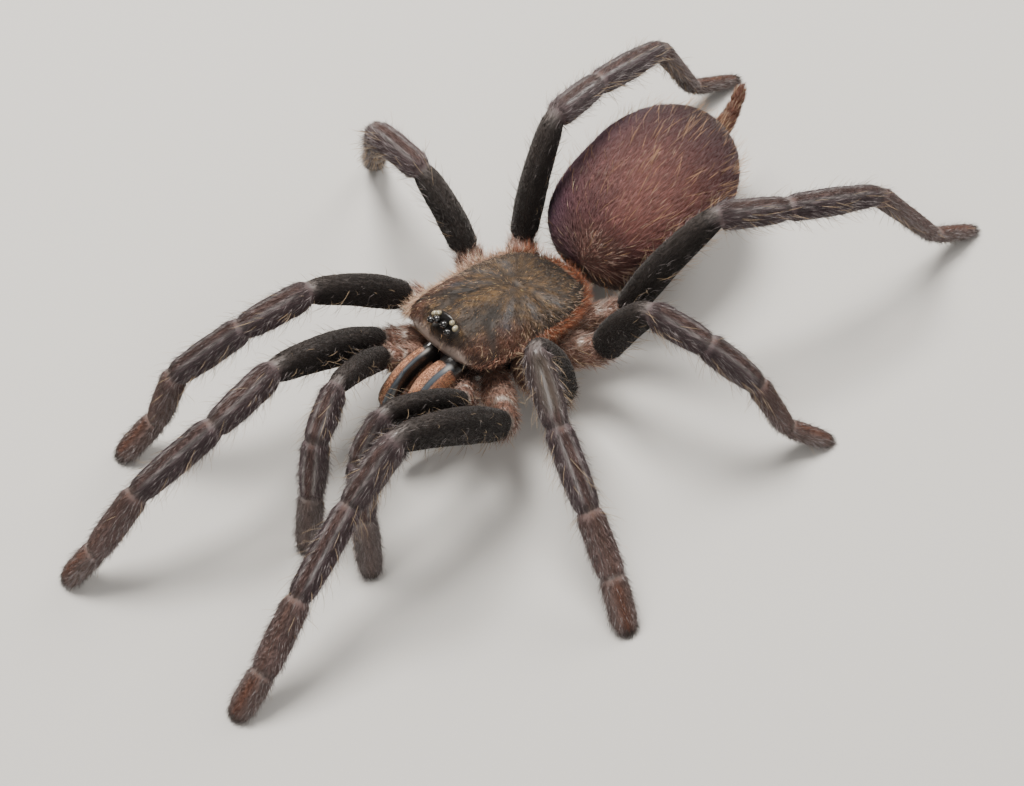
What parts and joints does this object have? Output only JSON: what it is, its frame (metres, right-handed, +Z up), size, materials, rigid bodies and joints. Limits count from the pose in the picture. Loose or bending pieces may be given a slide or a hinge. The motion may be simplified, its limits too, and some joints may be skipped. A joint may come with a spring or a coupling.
{
  "type": "tarantula",
  "caption": "Life-size still model of a hairy ground tarantula, standing on its feet with its front legs reaching forward and its long body low between them.",
  "frame": {"origin": "on the floor, under the middle of the whole model's box", "axes": "+X is the spider's left, -Y is the way it faces, +Z is up"},
  "size_m": [0.0504, 0.0798, 0.017],
  "materials": {
    "carapace": "bare plate with a low shine under fine lying hairs",
    "eye": "glossy black",
    "fang": "glossy near-black",
    "chelicera": "short salmon-pink lying hair",
    "trunk": "pinkish-brown hair",
    "femur": "velvety black-brown hair",
    "shin": "dark grey-brown hair with paler hairs",
    "foot": "grey-brown hair",
    "abdomen": "plum-brown pile with long golden hairs",
    "spinneret": "reddish-brown hair"
  },
  "bodies": {
    "root": {"carapace": "carapace", "front_middle_eye_left": "eye", "front_middle_eye_right": "eye", "front_side_eye_left": "eye", "front_side_eye_right": "eye", "rear_middle_eye_left": "eye", "rear_middle_eye_right": "eye", "rear_side_eye_left": "eye", "rear_side_eye_right": "eye", "prosoma": "trunk", "sternum": "femur", "labium": "trunk", "pedicel": "trunk", "chelicera_left": "chelicera", "fang_left": "fang", "chelicera_right": "chelicera", "fang_right": "fang", "abdomen": "abdomen", "spinneret_left": "spinneret", "spinneret_right": "spinneret", "leg1_left_coxa": "trunk", "leg1_left_femur": "femur", "leg1_left_shin": "shin", "leg1_left_foot": "foot", "leg1_right_coxa": "trunk", "leg1_right_femur": "femur", "leg1_right_shin": "shin", "leg1_right_foot": "foot", "leg2_left_coxa": "trunk", "leg2_left_femur": "femur", "leg2_left_shin": "shin", "leg2_left_foot": "foot", "leg2_right_coxa": "trunk", "leg2_right_femur": "femur", "leg2_right_shin": "shin", "leg2_right_foot": "foot", "leg3_left_coxa": "trunk", "leg3_left_femur": "femur", "leg3_left_shin": "shin", "leg3_left_foot": "foot", "leg3_right_coxa": "trunk", "leg3_right_femur": "femur", "leg3_right_shin": "shin", "leg3_right_foot": "foot", "leg4_left_coxa": "trunk", "leg4_left_femur": "femur", "leg4_left_shin": "shin", "leg4_left_foot": "foot", "leg4_right_coxa": "trunk", "leg4_right_femur": "femur", "leg4_right_shin": "shin", "leg4_right_foot": "foot", "feeler_left_coxa": "trunk", "feeler_left_femur": "femur", "feeler_left_shin": "shin", "feeler_left_foot": "foot", "feeler_right_coxa": "trunk", "feeler_right_femur": "femur", "feeler_right_shin": "shin", "feeler_right_foot": "foot"}
  },
  "joints": []
}
